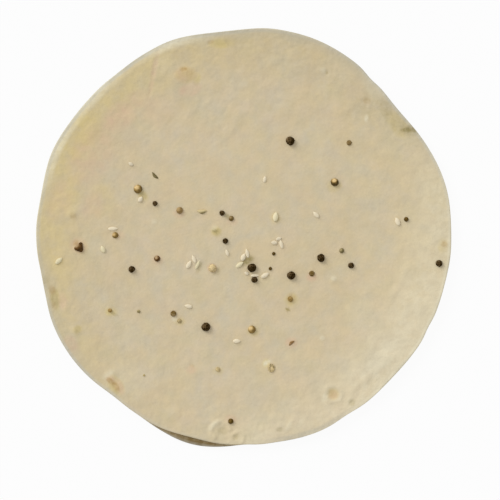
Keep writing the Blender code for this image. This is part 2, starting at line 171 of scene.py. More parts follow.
# Patches of each tint of the dough: x, y, half-length, half-width, bearing, strength.
PATCH_FADES_AT = 1.5            # how far out its tint has gone, where a patch's edge is at 1
PATCHES = {
    "pale": (
        (-49, -61, 9, 7, 0, 0.35), (53, -35, 9, 7, 0, 0.3), (40, 73, 8, 5, 150, 0.2),
    ),
    "yellow": (
        (-70, 45, 15, 7, 58, 0.9), (-77, 20, 14, 7, 75, 0.6), (-55, 62, 8, 4, 45, 0.6),
        (-40, 76, 6, 4, 30, 0.5), (-62, 16.5, 8, 6, 70, 0.35), (-25.4, 70.8, 4.4, 3.4, 0, 1),
        (-20.5, 69.5, 1.8, 2.8, 0, 0.6), (-33, 76.5, 3.4, 3.4, 0, 0.4), (86, -3.4, 2.2, 3.2, 0, 0.5),
        (38.4, -67.6, 2.4, 2.2, 0, 1), (67, 49, 7, 4, 130, 0.6), (-9.5, 84.6, 6, 2.4, 4, 0.9),
        (-72.3, -39.8, 2.8, 2.2, 50, 0.6), (-81.6, -26.5, 5, 2.2, 98, 1),
        (-55.6, -63.6, 4.4, 2.8, 125, 0.9), (-12.1, 2.9, 2.1, 1.9, 0, 0.9),
    ),
    "pink": (
        (-54.5, 52, 8, 5, 40, 0.75), (-66, 36, 13, 8, 65, 0.5), (-45, 60, 5, 4, 0, 0.4),
        (-39, 72.5, 10.5, 1.1, 79, 0.55), (-25.4, 70.8, 4.2, 3.2, 0, 0.6), (-23.5, 64.4, 4.4, 2.6, 20, 1),
        (-23, -57.2, 2.2, 1.6, 0, 0.6), (-75, -46, 3.6, 2.6, 120, 0.8), (-78.5, -27.5, 3.4, 2, 100, 0.6),
        (-38, 55, 9, 6, 0, 0.25), (-80, 16, 9, 5, 75, 0.3), (-66, 14, 6, 5, 75, 0.35),
        (38.4, -67.8, 2.2, 2, 0, 0.5), (-53.8, -64.6, 3.2, 1.6, 115, 0.6),
        (-57.8, -61.2, 2.2, 1.6, 140, 0.6),
    ),
    # Olive in the dents and creases and beside the seeds is painted shade; the other olive patches are the
    # dough's own colour.
    "olive": (
        (-20.8, 68, 1.4, 2.2, 0, 0.15), (-74, 9.8, 1.6, 1.4, 0, 0.15), (-55.8, -66.2, 1.8, 1, 120, 0.15),
        (-3.6, -86.2, 1.6, 1.2, 35, 0.35), (71.5, 46.8, 3.8, 1.3, 179, 0.9),
        (71.6, 46.8, 4.6, 2.4, 172, 0.4), (66, 50.5, 6, 4, 130, 0.25), (61, 53.5, 4, 1.2, 128, 0.25),
        (68, 46, 3, 1.6, 150, 0.2), (61, 57, 8, 3, 128, 0.3), (52, 58, 7, 5, 135, 0.15),
        (-9.5, 84.8, 4.6, 1.8, 4, 0.2), (36, 71.5, 0.6, 0.7, 0, 0.4), (39.5, 69, 1.6, 1, 0, 0.25),
        (-72.1, -39.6, 1.7, 1.2, 50, 0.33), (-82, -26, 4.4, 1.6, 98, 0.38),
        (46.8, -71.3, 1.5, 1.3, 60, 0.35), (15.5, -83, 1.4, 1, 0, 0.3), (-9.2, -83.6, 2.2, 1.6, 0, 0.25),
        (1.4, -9.9, 3, 1.5, 30, 0.7), (19, -31, 0.9, 0.7, 0, 1), (-12.5, 3, 1.3, 0.9, 0, 0.8),
        (-11.6, 2.4, 2, 1.6, 0, 0.25), (-86, -18.5, 2, 1.6, 95, 0.2),
    ),
    "scorch": (
        (-25.2, 70.6, 4, 3.2, 0, 0.14), (-26.2, 73.2, 1.6, 0.8, 5, 0.55), (-14.5, 85, 1.4, 0.8, 0, 0.3),
        (53.3, 59.3, 1.8, 1.4, 150, 0.25), (-74, 9.5, 1.4, 1.4, 0, 0.2),
        (-82.9, -22.6, 1.8, 1.2, 100, 0.5), (-82.2, -29.4, 1.8, 1, 100, 0.3),
        (-57.9, -61.9, 1.8, 1.1, 140, 0.6), (-55.6, -64.2, 2.4, 1.2, 125, 0.6),
        (86.6, -2.7, 1.3, 1.3, 90, 0.35), (38.2, -67.4, 1.8, 1.6, 0, 0.2),
        (-22.6, -55.4, 0.9, 0.7, 0, 0.25), (19, -31, 0.8, 0.6, 0, 0.1),
    ),
    # Cream on the tops and upper-left sides of bumps and blisters is painted light; the other cream patches
    # are pale specks of the dough.
    "cream": (
        (-35, 75, 5, 4, 0, 0.15), (56, 65, 6, 3, 130, 0.3), (-30.2, -35.2, 1.3, 0.8, 0, 0.6),
        (35.3, -68.4, 2.4, 1.1, 60, 0.4), (-13.2, -81, 3, 1.1, 45, 0.45), (-59, -59.2, 2.8, 1, 35, 0.35),
        (34.2, 72.6, 1.2, 1.1, 0, 0.35), (53, 51.8, 1.5, 0.8, 80, 0.6), (19.5, -81.6, 2.6, 1, 62, 0.35),
        (24.4, -80.3, 2, 1, 65, 0.2), (39, -17.6, 1.2, 1, 0, 0.5), (34, -43.5, 1.1, 0.9, 0, 0.4),
        (-39, 7, 1.2, 0.9, 0, 0.3), (-12.9, 4.3, 1.4, 1, 45, 0.3), (60, -52, 9, 4, 45, 0.2),
        (9.4, -54.4, 1.4, 1.1, 60, 0.7), (10.8, -53.4, 1, 0.7, 10, 0.6),
    ),
    "dusky": (
        (-53, 45, 7, 6, 0, 0.13), (-26, 65, 6, 5, 0, 0.15), (56, -55, 6, 6, 0, 0.15),
        (65, -45, 5, 5, 0, 0.1), (33, -65, 7, 5, 0, 0.13), (5, -67, 10, 6, 0, 0.1),
        (55, 12, 8, 10, 0, 0.1),
    ),
}

# What has seeped from the spices into the dough round them, and painted shadows beside them, in the same
# terms.
SPICE_STAINS_AND_SHADOWS = {
    "yellow": (
        (20.6, -26.8, 2.8, 2.6, 0, 1), (-43.9, 18.6, 2.6, 1.6, 130, 0.9), (39.2, 22.6, 3, 2.4, 0, 0.7),
        (3.9, -40.2, 2.6, 2.4, 0, 0.6), (-57.6, -32, 2.4, 1.8, 0, 0.9), (-71.2, -4, 3.4, 3, 0, 0.5),
        (9.6, -54.4, 1.8, 1.4, 60, 1), (13.6, 8.6, 2.4, 2.6, 0, 0.4), (-80, -10.6, 3, 2.4, 45, 0.6),
        (-28, -36, 2.4, 1.8, 0, 0.5), (-11.6, -57.4, 2.4, 2, 0, 0.4),
    ),
    "pink": (
        (-28.2, 10.8, 2.4, 2, 0, 0.7), (29.4, -17, 2.2, 1.8, 0, 0.8), (-5.2, 7.1, 2.2, 1.6, 0, 0.7),
        (20.6, -45.5, 2.4, 2.2, 0, 0.9), (-5.9, -78.3, 2.4, 1.7, 0, 0.8), (-53.4, 1, 2, 1.5, 0, 0.6),
        (-37.3, -9.6, 2.2, 2, 0, 0.5), (-71.8, -3.4, 3.4, 3, 0, 0.8), (-14, -13, 2, 1.8, 0, 0.8),
    ),
    # Painted shadows on the dough at the lower right of the spices.
    "olive": (
        (-43.6, 18.6, 1.8, 1, 130, 0.3), (-7.2, 9.4, 1.9, 1, 140, 0.5),
        (-56.2, -32.9, 1.7, 0.6, 155, 0.4), (14.5, 7.9, 1.2, 0.9, 45, 0.3),
        (-19.4, -12.6, 2.6, 0.9, 66, 0.45), (-12, -14.5, 1.9, 1, 45, 0.35),
    ),
    "scorch": (
        (20.5, -26.3, 1.9, 2.3, 0, 0.25), (-72.9, -2.2, 1.4, 1, 45, 0.5),
    ),
}

# Tints that follow the rim: tint, middle bearing, half-width in degrees, where it starts, where it is
# full, strength.
RIM_TINTS = in_metres((3, 4), (
    # The pale tints and the cream one here are painted light that brightens the rim along the right, the
    # lower right and the bottom.
    ("pale", 328, 28, 60, 84, 1),
    ("pale", 6, 15, 68, 86, 0.85),
    ("cream", 274, 5, 74, 87, 0.3),
    ("pale", 285, 16, 76, 86, 0.25),
    ("yellow", 158, 42, 64, 86, 0.7),
    ("yellow", 15, 32, 24, 66, 0.1),
    ("olive", 70, 42, 62, 86, 0.13),
))

# Bands along the rim: tint, middle bearing, half-width in degrees, how far in from the rim the band is
# full, how far in it has gone, strength.
RIM_BANDS = in_metres((3, 4), (
    # Painted light on the turned-down lip, which faces the key light.
    ("cream", 154, 7, 2.8, 4.4, 0.6),
    ("cream", 137, 6, 2.4, 4.6, 0.5),
    ("cream", 110, 6, 2.4, 4.4, 0.55),
    # Painted light that lifts the shade on the outer bevel at the lower right.
    ("cream", 330, 22, 0.9, 1.8, 0.7),
    ("olive", 78, 20, 2.5, 6, 0.07),
    # Greyer bands along the outermost rim.
    ("worn", 125, 48, 0.9, 2.3, 0.7),
    ("worn", 215, 22, 0.6, 1.8, 0.6),
    ("worn", 45, 30, 0.6, 1.8, 0.6),
    # Darker bands of painted shade along the rim.
    ("dusky", 68, 26, 2, 5.6, 0.3),
    ("dusky", 200, 26, 3, 7, 0.18),
    ("dusky", 150, 12, 0.9, 1.8, 0.35),
    ("dusky", 288, 9, 1.2, 2.8, 0.55),
))

# The tints in the order in which they lie over one another: size of the frays of their edges, in
# millimetres, and how much these take.
TINT_FRAYS = {
    "pale": (4, 0.35),
    "yellow": (6, 0.35),
    "pink": (5, 0.45),
    "worn": (2, 0.2),
    "olive": (1.6, 0.3),
    "scorch": (1.2, 0.3),
    "cream": (2, 0.25),
    "dusky": (3, 0.3),
}

# Clouds of tint all over the dough: tint, size, detail, strength.
DOUGH_CLOUDS = in_metres((1,), (
    ("yellow", 26, 2, 0.22),
    ("yellow", 8, 3, 0.28),
    ("pink", 12, 3, 0.26),
    ("yellow", 3, 3, 0.12),
    ("pink", 4.1, 3, 0.10),
))

# Round spices: x, y, breadth, coat, tone of the coat, and for a seed with a lighter side how much lighter
# it is and its bearing. The lighter side is mostly a painted highlight on the side towards the key light,
# and a low tone is partly painted shade. Tones run from -1, dark, to 1, light.
PEPPERCORNS = in_metres(range(3), (
    (20, 42.1, 3.9, "black", 0.05, 0.6, 150),
    (3.5, -12.9, 3.9, "black", 0, 0.3, 135),
    (20.5, -16.2, 3.7, "black", 0, 0.45, 150),
    (33.4, -8.7, 3.5, "black", -0.1, 0.45, 150),
    (-16.5, -38.5, 3.9, "black", 0.1, 0.35, 140),
    (84.4, -11, 3, "black", 0.1, 0.35, 135),
    (-48.7, -13.6, 2.9, "black", 0, 0.45, 135),
    (4.5, -18.1, 2.8, "black", 0.1, 0.25, 110),
    (46.4, -11.9, 2.7, "black", 0.1, 0.3, 135),
))
BLACK_SEEDS = in_metres(range(3), (
    (-38.6, 15, 2.2, "black", 0.35, 0.1, 90),
    (-9.5, 10.8, 2.3, "black", 0.15, 0.1, 90),
    (-8.1, -1.3, 2.4, "black", 0, 0.2, 120),
    (12.9, -6.8, 1.5, "umber", -0.6, 0.1, 90),
    (11.4, -13.3, 1.5, "umber", -0.6, 0.1, 90),
    (-5.7, -79.4, 2.4, "umber", -0.4, 0.4, 135),
    (70.3, 8.1, 2, "umber", -0.4, 0.3, 90),
    (-43.3, -59.5, 0.9, "olive", 0.6),
))
CORIANDER_SEEDS = in_metres(range(3), (
    (-46, 21.2, 3.8, "golden", -0.5, 1.45, 125),
    (39.3, 24.2, 3.6, "golden", -1, 2.1, 103),
    (-13.7, -13.1, 3.5, "peach", -0.05, 0.1, 135),
    (3.4, -39.7, 3.4, "golden", -0.35, 1.3, 135),
    (-27.9, 12, 3, "dusty", -0.12, 0.4, 150),
    (20.1, -26.5, 2.4, "golden", -0.15, 0.25, 60),
    (-37.7, -8.9, 2.7, "russet", -0.4, 1.2, 120),
    (-55.8, 1.2, 2.7, "golden", -0.4, 1.1, 150),
    (29.4, -15.4, 2.5, "umber", 0, 0.15, 90),
    (-30.6, -32.8, 2.6, "umber", 0.05, 0.3, 280),
    (-5.5, 8.5, 2.3, "umber", -0.1, 0.6, 140),
    (45.6, 41.3, 2.3, "umber", 0.1, 0.15, 0),
    (42.4, -5.5, 2.2, "olive", -0.25, 0.5, 150),
    (-58.1, -31.4, 1.8, "golden", 0.05, 0.15, 90),
    (-45.7, -31.8, 1.5, "olive", 0.25),
    (-28, -36, 2, "husk", -0.3),
    (-11.3, -57, 2, "husk", 0),
))

# Long spices: x, y, length, width, bearing of the pointed end, and the rest as above.
SESAME_SEEDS = in_metres(range(4), (
    (-49.1, 32.1, 2.4, 1.6, 150, "cream", -0.3),
    (-44.9, 16.8, 2.7, 2, 60, "cream", 0),
    (-56.8, 4, 4.2, 1.8, 2, "cream", 0.3),
    (-61.2, -4.9, 3.2, 2, 115, "straw", 0.2),
    (-80.2, -9.9, 3.8, 2.1, 42, "straw", 0.1),
    (9, 25.5, 3, 1.6, 80, "cream", 0),
    (13.7, 9.2, 4.1, 2.4, 82, "straw", 0.4),
    (31.3, 10.1, 3.4, 1.9, 135, "cream", 0.1),
    (15.1, -0.3, 2.7, 1.6, 20, "cream", -0.3),
    (13.1, -2, 2.8, 1.9, 175, "cream", -0.2),
    (16.2, -2.7, 3.9, 1.7, 105, "cream", 0.1),
    (-7.3, -6.4, 3, 1.6, 108, "cream", 0),
    (1.4, -6.6, 3.9, 1.7, 102, "cream", 0.1),
    (-0.3, -8.3, 3.4, 2.1, 68, "cream", 0.3),
    (-1.9, -11.6, 3.8, 1.9, 35, "straw", 0.2),
    (1.1, -15.3, 2.2, 1.6, 150, "cream", -0.3),
    (4.7, -16.3, 3.6, 1.6, 2, "cream", 0.2),
    (9.1, -16.2, 3.9, 2.1, 30, "cream", 0.1),
    (-23.9, -11.5, 3.9, 2, 60, "cream", 0.1),
    (-21.7, -9.2, 3.6, 1.7, 113, "cream", 0.2),
    (-20.1, -11.6, 4.2, 1.4, 66, "straw", -0.1),
    (-24.1, -29.6, 3.4, 1.8, 168, "cream", 0.1),
    (-3.1, -44.7, 3.3, 2, 0, "cream", 0.3),
    (66.6, 7.1, 3.8, 2.2, 112, "cream", 0.2),
))
CUMIN_SEEDS = in_metres(range(4), (
    (-38.7, 26.9, 3.9, 1.3, 133, "olive", -0.4, 0.2, 225),
    (-18.2, 11.4, 4.4, 1.8, 182, "olive", 0.1, 1.8, 98),
    (20.5, -45.4, 3.2, 1.3, 40, "rust", 0, 0.2, 135),
))

# The seed that has burst and the empty husk: x, y, breadth, width and height as shares of the breadth,
# bearing, and the rest as above.
BURST_SEEDS = in_metres(range(3), (
    (-71.3, -3.8, 4.2, 0.95, 0.5, 70, "russet", -0.5, 1.4, 152),
))
EMPTY_HUSKS = in_metres(range(3), (
    (11.9, -56.4, 3.7, 0.8, 0.8 / 3.7, 90, "husk", 0, 0.3, 150),
))

# How a spice stands in the dough: its height as a share of its breadth, and how much of that is sunk.
PEPPER_HEIGHT_SHARE = 0.82
ROUND_HEIGHT_SHARE = 0.66
LONG_HEIGHT_SHARE = 0.60
SUNK_SHARE = 0.28
ROUND_LENGTHS = (0.98, 1.03)    # how the round ones vary in length and in width
ROUND_WIDTHS = (0.94, 1.0)
COLLAR_HEIGHT = 0.12 * MM       # the dough that stands up round a spice
COLLAR_BREADTH = 0.55 * MM
LIT_SPOT_OUT = 0.50             # how far out a seed's painted highlight lies, as a share of its half-breadth
LIT_CORNER_OUT = 0.2            # how much further out the burst seed's lies

# Grooves between the ribs of a seed.
GROOVE_FROM = -0.3              # how far down the wave of the ribs a groove starts
POLE_GIRTH = 0.12               # no groove is cut where the seed is slimmer than this, of 1

# Coats of the spices: size of their clouds in millimetres, strength of these, roughness, specular, how
# bright the dark and the light end of the coat are, share of glint in the light end, colour of the glint.
# The glint is a painted highlight, and the dark and light ends carry painted shade and light as well as
# the coats' own tones.
SPICE_COATS = {
    "peppercorn": (0.7, 0.25, 0.8, 0.02, 0.35, 2.6, 0.2, (0.48, 0.35, 0.20)),
    "coriander": (0.9, 0.22, 0.7, 0.05, 0.22, 2.0, 0.45, (0.72, 0.60, 0.38)),
    "sesame": (1.5, 0.12, 0.6, 0.12, 0.75, 1.14, 0.35, (0.80, 0.70, 0.50)),
    "cumin": (0.8, 0.2, 0.7, 0.05, 0.22, 2.0, 0.45, (0.72, 0.60, 0.38)),
}

RANDOM_SEED = 11

# The camera looks straight down on a point just below and right of the middle.
VIEW_CENTRE = (2.6 * MM, -5.2 * MM)
VIEW_WIDTH = 216.9 * MM
SENSOR_WIDTH = 36.0             # millimetres, as Blender gives it
FLOOR_SIZE = 6.0
FLOOR_GAP = 0.02 * MM           # keeps the floor clear of the sheet's underside
FLOOR_GREY = 0.05               # what is left of a shadow on the white floor
FLOOR_GLOW = 0.93


# Settings that a user would change.

def colour_property(name, description, default):
    """A colour setting, as linear red, green and blue."""
    return bpy.props.FloatVectorProperty(
        name=name, description=description, subtype="COLOR", size=3, min=0.0, max=1.0, default=default
    )


def length_property(name, description, default):
    """A length setting, in metres."""
    return bpy.props.FloatProperty(
        name=name, description=description, subtype="DISTANCE", unit="LENGTH", default=default
    )


def angle_property(name, description, degrees):
    """An angle setting, given in degrees."""
    return bpy.props.FloatProperty(
        name=name, description=description, subtype="ANGLE", unit="ROTATION", default=math.radians(degrees)
    )


class PapadumDoughSettings(bpy.types.PropertyGroup):
    """Sizes and colours of the sheet of dough."""

    radius: length_property("Radius", "Radius of the round sheet, before its rim wanders", SHEET_RADIUS)
    thickness: length_property("Thickness", "Thickness of the dried dough", SHEET_THICKNESS)
    colour: colour_property("Dough", "Colour of the plain dried dough", (0.578, 0.509, 0.372))
    yellow: colour_property("Yellow", "Where the dough dried yellower", (0.612, 0.497, 0.245))
    pink: colour_property("Pink", "Where the dough dried pinker", (0.635, 0.470, 0.31))
    # Also painted light along the right and lower right of the rim.
    pale: colour_property("Pale", "Where the dough dried paler", (0.670, 0.590, 0.418))
    # Painted shade in dents, creases and folds and painted shadows beside the spices, besides olive patches
    # of the dough.
    olive: colour_property("Olive", "Hollows and folds that look olive", (0.31, 0.25, 0.10))
    scorch: colour_property("Scorch", "Spots that have toasted", (0.40, 0.25, 0.085))
    # Painted light on the turned-down lip, on the lit sides of blisters and bumps and along the lower right
    # of the rim, besides pale specks of the dough.
    cream: colour_property("Cream", "The lip and the tops of blisters", (0.72, 0.660, 0.485))
    # The colour of the greyer bands along the outermost rim, also laid over the outer steps of the split
    # edge.
    worn: colour_property("Worn rim", "The dusty outermost rim", (0.54, 0.53, 0.455))
    # Painted shade along stretches of the rim, and darker patches on the dough.
    dusky: colour_property("Dusky rim", "Stretches of the rim that look darker", (0.42, 0.39, 0.31))
    # Painted shade: the under layer of the split edge, darkened as if in shadow under the top layer.
    split_shade: colour_property("Browned edge", "The under layer where the edge has split", (0.19, 0.13, 0.052))


class PapadumSpiceSettings(bpy.types.PropertyGroup):
    """Colours of the spices' coats."""

    black: colour_property("Black", "Peppercorns and black seeds", (0.030, 0.0165, 0.0035))
    umber: colour_property("Umber", "Dark brown seeds", (0.140, 0.085, 0.020))
    russet: colour_property("Russet", "Reddish brown seeds", (0.140, 0.070, 0.020))
    rust: colour_property("Rust", "Orange brown seeds", (0.240, 0.135, 0.050))
    golden: colour_property("Golden", "Golden brown seeds", (0.310, 0.200, 0.062))
    dusty: colour_property("Dusty", "Dull pinkish brown seeds", (0.290, 0.190, 0.074))
    olive: colour_property("Olive", "Greyish olive seeds", (0.230, 0.185, 0.080))
    husk: colour_property("Husk", "The empty husk", (0.500, 0.390, 0.200))
    peach: colour_property("Peach", "The palest peach seeds", (0.600, 0.465, 0.245))
    straw: colour_property("Straw", "Pale yellowish seeds", (0.680, 0.605, 0.395))
    cream: colour_property("Cream", "Hulled sesame seeds", (0.710, 0.620, 0.450))


class PapadumStageSettings(bpy.types.PropertyGroup):
    """The plain floor, the light and the camera."""

    key: bpy.props.FloatProperty(
        name="Key light", description="Strength of the light from the upper left", min=0.0, default=1.91
    )
    fill: bpy.props.FloatProperty(
        name="Fill light", description="Strength of the white light from all round", min=0.0, default=0.70
    )
    key_bearing: angle_property("Key bearing", "Where the key light comes from", 136.0)
    key_elevation: angle_property("Key elevation", "How high the key light stands", 31.0)
    key_softness: angle_property("Key softness", "How wide the key light looks", 34.0)
    lens: bpy.props.FloatProperty(
        name="Lens", description="Focal length of the camera, in millimetres", min=10.0, default=200.0
    )


# The form of the sheet, as in the solid. Radii and bearings may be numbers or arrays.

def ease(share):
    """A smooth step from 0 to 1."""
    share = np.clip(share, 0.0, 1.0)
    return share * share * (3.0 - 2.0 * share)


def turn_between(bearing, other):
    """The angle from one bearing to another, from -180 to 180 degrees."""
    return (bearing - other + 180.0) % 360.0 - 180.0


def bell(bearing, middle, half_width):
    """A bell curve round the rim: 1 at the middle bearing, fading to 0 on both sides."""
    return np.exp(-0.5 * (turn_between(bearing, middle) / half_width) ** 2)


def rim_reach(bearing):
    """How far the top layer's rim lies outside the round, or inside it where negative."""
    return sum(reach * bell(bearing, middle, width) for middle, width, reach in RIM_BAYS)


def rim_height(bearing):
    """How far the rim stands above the flat middle."""
    height = RIM_LIFT
    for count, wave, crest in RIM_WAVES:
        height = height + wave * np.cos(count * np.radians(bearing - crest))
    return height


def lip_strength(bearing):
    """How much of the turned-down lip shows at a bearing, from 0 to 1."""
    return ease((LIP_HALF_WIDTH - np.abs(turn_between(bearing, LIP_BEARING))) / LIP_FADE + 0.5)


def sheet_lift(radius, bearing):
    """The height of the sheet's underside at a radius and a bearing."""
    dish = ease((radius - FLAT_RADIUS) / (SHEET_RADIUS - FLAT_RADIUS) * DISH_SHARE) / ease(DISH_SHARE)
    lip = ease((radius - SHEET_RADIUS + LIP_BREADTH) / LIP_BREADTH)
    return rim_height(bearing) * dish - LIP_DROP * lip_strength(bearing) * lip


def top_height(x, y):
    """The height of the sheet's top at a place on it."""
    return SHEET_THICKNESS + float(sheet_lift(math.hypot(x, y), math.degrees(math.atan2(y, x))))


def tilt_of_top(x, y):
    """The turn that stands a thing square on the sheet's top at a place on it."""
    step = 0.5 * MM
    slope_x = (top_height(x + step, y) - top_height(x - step, y)) / (2.0 * step)
    slope_y = (top_height(x, y + step) - top_height(x, y - step)) / (2.0 * step)
    upright = Vector((-slope_x, -slope_y, 1.0))
    return Vector((0.0, 0.0, 1.0)).rotation_difference(upright).to_matrix().to_4x4()


# Small helpers for modelling by operators.

def deselect_all():
    """Nothing is selected and no object is in edit mode."""
    if bpy.context.object and bpy.context.object.mode != "OBJECT":
        bpy.ops.object.mode_set(mode="OBJECT")
    bpy.ops.object.select_all(action="DESELECT")


def only(thing):
    """Makes one object the selected and the active one."""
    deselect_all()
    thing.select_set(True)
    bpy.context.view_layer.objects.active = thing


def edit_all(thing):
    """Enters edit mode with the whole of one object selected."""
    only(thing)
    bpy.ops.object.mode_set(mode="EDIT")
    bpy.ops.mesh.select_all(action="SELECT")


def points_of(mesh):
    """A mesh's vertices, as an array of places."""
    places = np.empty(len(mesh.vertices) * 3)
    mesh.vertices.foreach_get("co", places)
    return places.reshape(-1, 3)


def set_points(mesh, places):
    """Moves a mesh's vertices to new places."""
    mesh.vertices.foreach_set("co", places.ravel())
    mesh.update()


def pick(thing, chosen):
    """Selects some of an object's vertices and nothing else, and enters edit mode."""
    only(thing)
    mesh = thing.data
    mesh.edges.foreach_set("select", np.zeros(len(mesh.edges), dtype=bool))
    mesh.polygons.foreach_set("select", np.zeros(len(mesh.polygons), dtype=bool))
    mesh.vertices.foreach_set("select", chosen)
    bpy.ops.object.mode_set(mode="EDIT")
    bpy.ops.mesh.select_mode(type="VERT")


def pull(thing, chosen, move, reach=0.0):
    """Moves some vertices, and with a reach their neighbours softly too."""
    pick(thing, chosen)
    bpy.ops.transform.translate(
        value=move,
        use_proportional_edit=reach > 0.0,
        proportional_edit_falloff="SMOOTH",
        proportional_size=reach or MM,
    )
    bpy.ops.object.mode_set(mode="OBJECT")


def squeeze(thing, chosen, factors, reach=0.0, about=(0.0, 0.0, 0.0)):
    """Scales some vertices about a point, and with a reach their neighbours softly too."""
    pick(thing, chosen)
    bpy.ops.transform.resize(
        value=factors,
        center_override=about,
        use_proportional_edit=reach > 0.0,
        proportional_edit_falloff="SMOOTH",
        proportional_size=reach or MM,
    )
    bpy.ops.object.mode_set(mode="OBJECT")


def set_attribute(mesh, name, values):
    """Stores a number or a colour a vertex under a name that a material can read."""
    values = np.asarray(values, dtype=np.float32)
    if values.ndim == 2:
        made = mesh.attributes.get(name) or mesh.attributes.new(name, "FLOAT_COLOR", "POINT")
        made.data.foreach_set("color", values.ravel())
    else:
        made = mesh.attributes.get(name) or mesh.attributes.new(name, "FLOAT", "POINT")
        made.data.foreach_set("value", values)


def get_attribute(mesh, name):
    """The numbers stored under a name, or zeros where there are none."""
    values = np.zeros(len(mesh.vertices))
    if name in mesh.attributes:
        mesh.attributes[name].data.foreach_get("value", values)
    return values


def apply_modifier(thing, name, kind, **settings):
    """Adds a modifier with its settings and applies it."""
    modifier = thing.modifiers.new(name, kind)
    for setting, value in settings.items():
        setattr(modifier, setting, value)
    only(thing)
    bpy.ops.object.modifier_apply(modifier=modifier.name)


def displace(thing, name, kind, size, height, group=""):
    """Raises and lowers a surface along its normals by a cloudy or cellular texture."""
    texture = bpy.data.textures.new(name, kind)
    texture.noise_scale = size
    if kind == "VORONOI":
        texture.weight_1 = -1.0
        texture.weight_2 = 1.0
    else:
        texture.noise_depth = 2
    apply_modifier(thing, name, "DISPLACE", texture=texture, texture_coords="LOCAL", strength=height,
                   mid_level=0.5 if kind == "CLOUDS" else 0.0, vertex_group=group)


def finish_piece(piece, material):
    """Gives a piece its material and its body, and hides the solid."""
    piece.data.materials.clear()
    piece.data.materials.append(material)
    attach(piece, BODY)
    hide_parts(NODE)


# Shader groups that more than one material uses, and materials.

class Graph:
    """The nodes of a shader group or of a material in the making."""

    def __init__(self, tree):
        self.nodes = tree.nodes
        self.link = tree.links.new

    def add(self, kind, feeds, **choices):
        """A node with its choices made and its sockets fed, each with a number, a colour or a socket."""
        node = self.nodes.new(kind)
        for choice, value in choices.items():
            setattr(node, choice, value)
        for name, value in feeds.items():
            if isinstance(value, bpy.types.NodeSocket):
                self.link(value, node.inputs[name])
            elif isinstance(value, (int, float)):
                node.inputs[name].default_value = value
            else:
                node.inputs[name].default_value = (*value, 1.0)
        return node

    def sum_of(self, operation, first, second, clamp=False):
        """A sum, product or quotient of two values."""
        node = self.add("ShaderNodeMath", {0: first, 1: second}, operation=operation, use_clamp=clamp)
        return node.outputs[0]

    def clouds(self, size, detail=3.0, low=0.0, high=1.0):
        """Soft clouds from low to high."""
        feeds = {"Size": size, "Detail": detail, "Low": low, "High": high}
        return self.add("ShaderNodeGroup", feeds, node_tree=cloud_group()).outputs["Factor"]


def new_group(name, inputs, output):
    """A shader group of numbers: its graph, the sockets with what it is given, and its output's socket."""
    tree = bpy.data.node_groups.new(name, "ShaderNodeTree")
    for socket, default in inputs.items():
        made = tree.interface.new_socket(socket, in_out="INPUT", socket_type="NodeSocketFloat")
        made.default_value = default
    tree.interface.new_socket(output, in_out="OUTPUT", socket_type="NodeSocketFloat")
    graph = Graph(tree)
    return graph, graph.add("NodeGroupInput", {}).outputs, graph.add("NodeGroupOutput", {}).inputs[output]


def cloud_group():
    """Soft clouds on the piece's own coordinates: Factor runs from Low to High. Built once."""
    if "Clouds" not in bpy.data.node_groups:
        inputs = {"Size": 0.01, "Detail": 3.0, "Low": 0.0, "High": 1.0}
        graph, given, factor = new_group("Clouds", inputs, "Factor")
        place = graph.add("ShaderNodeTexCoord", {}).outputs["Object"]
        scale = graph.sum_of("DIVIDE", 1.0, given["Size"])
        cloud = graph.add("ShaderNodeTexNoise", {"Vector": place, "Scale": scale, "Detail": given["Detail"]})
        spread = graph.add("ShaderNodeMapRange", {
            "Value": cloud.outputs["Fac"], "From Min": 0.3, "From Max": 0.7,
            "To Min": given["Low"], "To Max": given["High"],
        }, interpolation_type="SMOOTHSTEP")
        graph.link(spread.outputs["Result"], factor)
    return bpy.data.node_groups["Clouds"]


def frayed_group():
    """A painted mask with its edge broken up by clouds. Built once."""
    if "Frayed mask" not in bpy.data.node_groups:
        inputs = {"Mask": 0.0, "Size": 0.002, "Fray": 0.5}
        graph, given, frayed = new_group("Frayed mask", inputs, "Mask")
        fray = graph.sum_of("MULTIPLY", graph.clouds(given["Size"], low=-1.0), given["Fray"])
        room = graph.sum_of("MULTIPLY", fray, given["Mask"])
        graph.link(graph.sum_of("ADD", room, given["Mask"], clamp=True), frayed)
    return bpy.data.node_groups["Frayed mask"]


class Finish(Graph):
    """A material in the making, with its Principled BSDF."""

    def __init__(self, name, roughness, specular):
        self.material = bpy.data.materials.new(name)
        self.material.use_nodes = True
        super().__init__(self.material.node_tree)
        self.surface = self.nodes["Principled BSDF"]
        self.surface.inputs["Roughness"].default_value = roughness
        self.surface.inputs["Specular IOR Level"].default_value = specular

    def painted(self, name, output="Fac"):
        """What is painted on the mesh under a name."""
        return self.add("ShaderNodeAttribute", {}, attribute_name=name).outputs[output]

    def frayed(self, name, size, fray):
        """The mask painted on the mesh under a name, with its edge broken up."""
        feeds = {"Mask": self.painted(name), "Size": size, "Fray": fray}
        return self.add("ShaderNodeGroup", feeds, node_tree=frayed_group()).outputs["Mask"]

    def mix(self, factor, first, second, blend="MIX"):
        """One colour over another. Each may be a colour or a socket, and so may the factor."""
        feeds = {0: factor, 6: first, 7: second}
        return self.add("ShaderNodeMix", feeds, data_type="RGBA", blend_type=blend).outputs[2]

    def bump(self, height, distance, strength=1.0):
        """Fine relief that stays in the shader."""
        node = self.add("ShaderNodeBump", {"Distance": distance, "Strength": strength, "Height": height})
        self.link(node.outputs["Normal"], self.surface.inputs["Normal"])

    def colour(self, socket):
        """Sends a colour to the surface."""
        self.link(socket, self.surface.inputs["Base Color"])


# The dough.

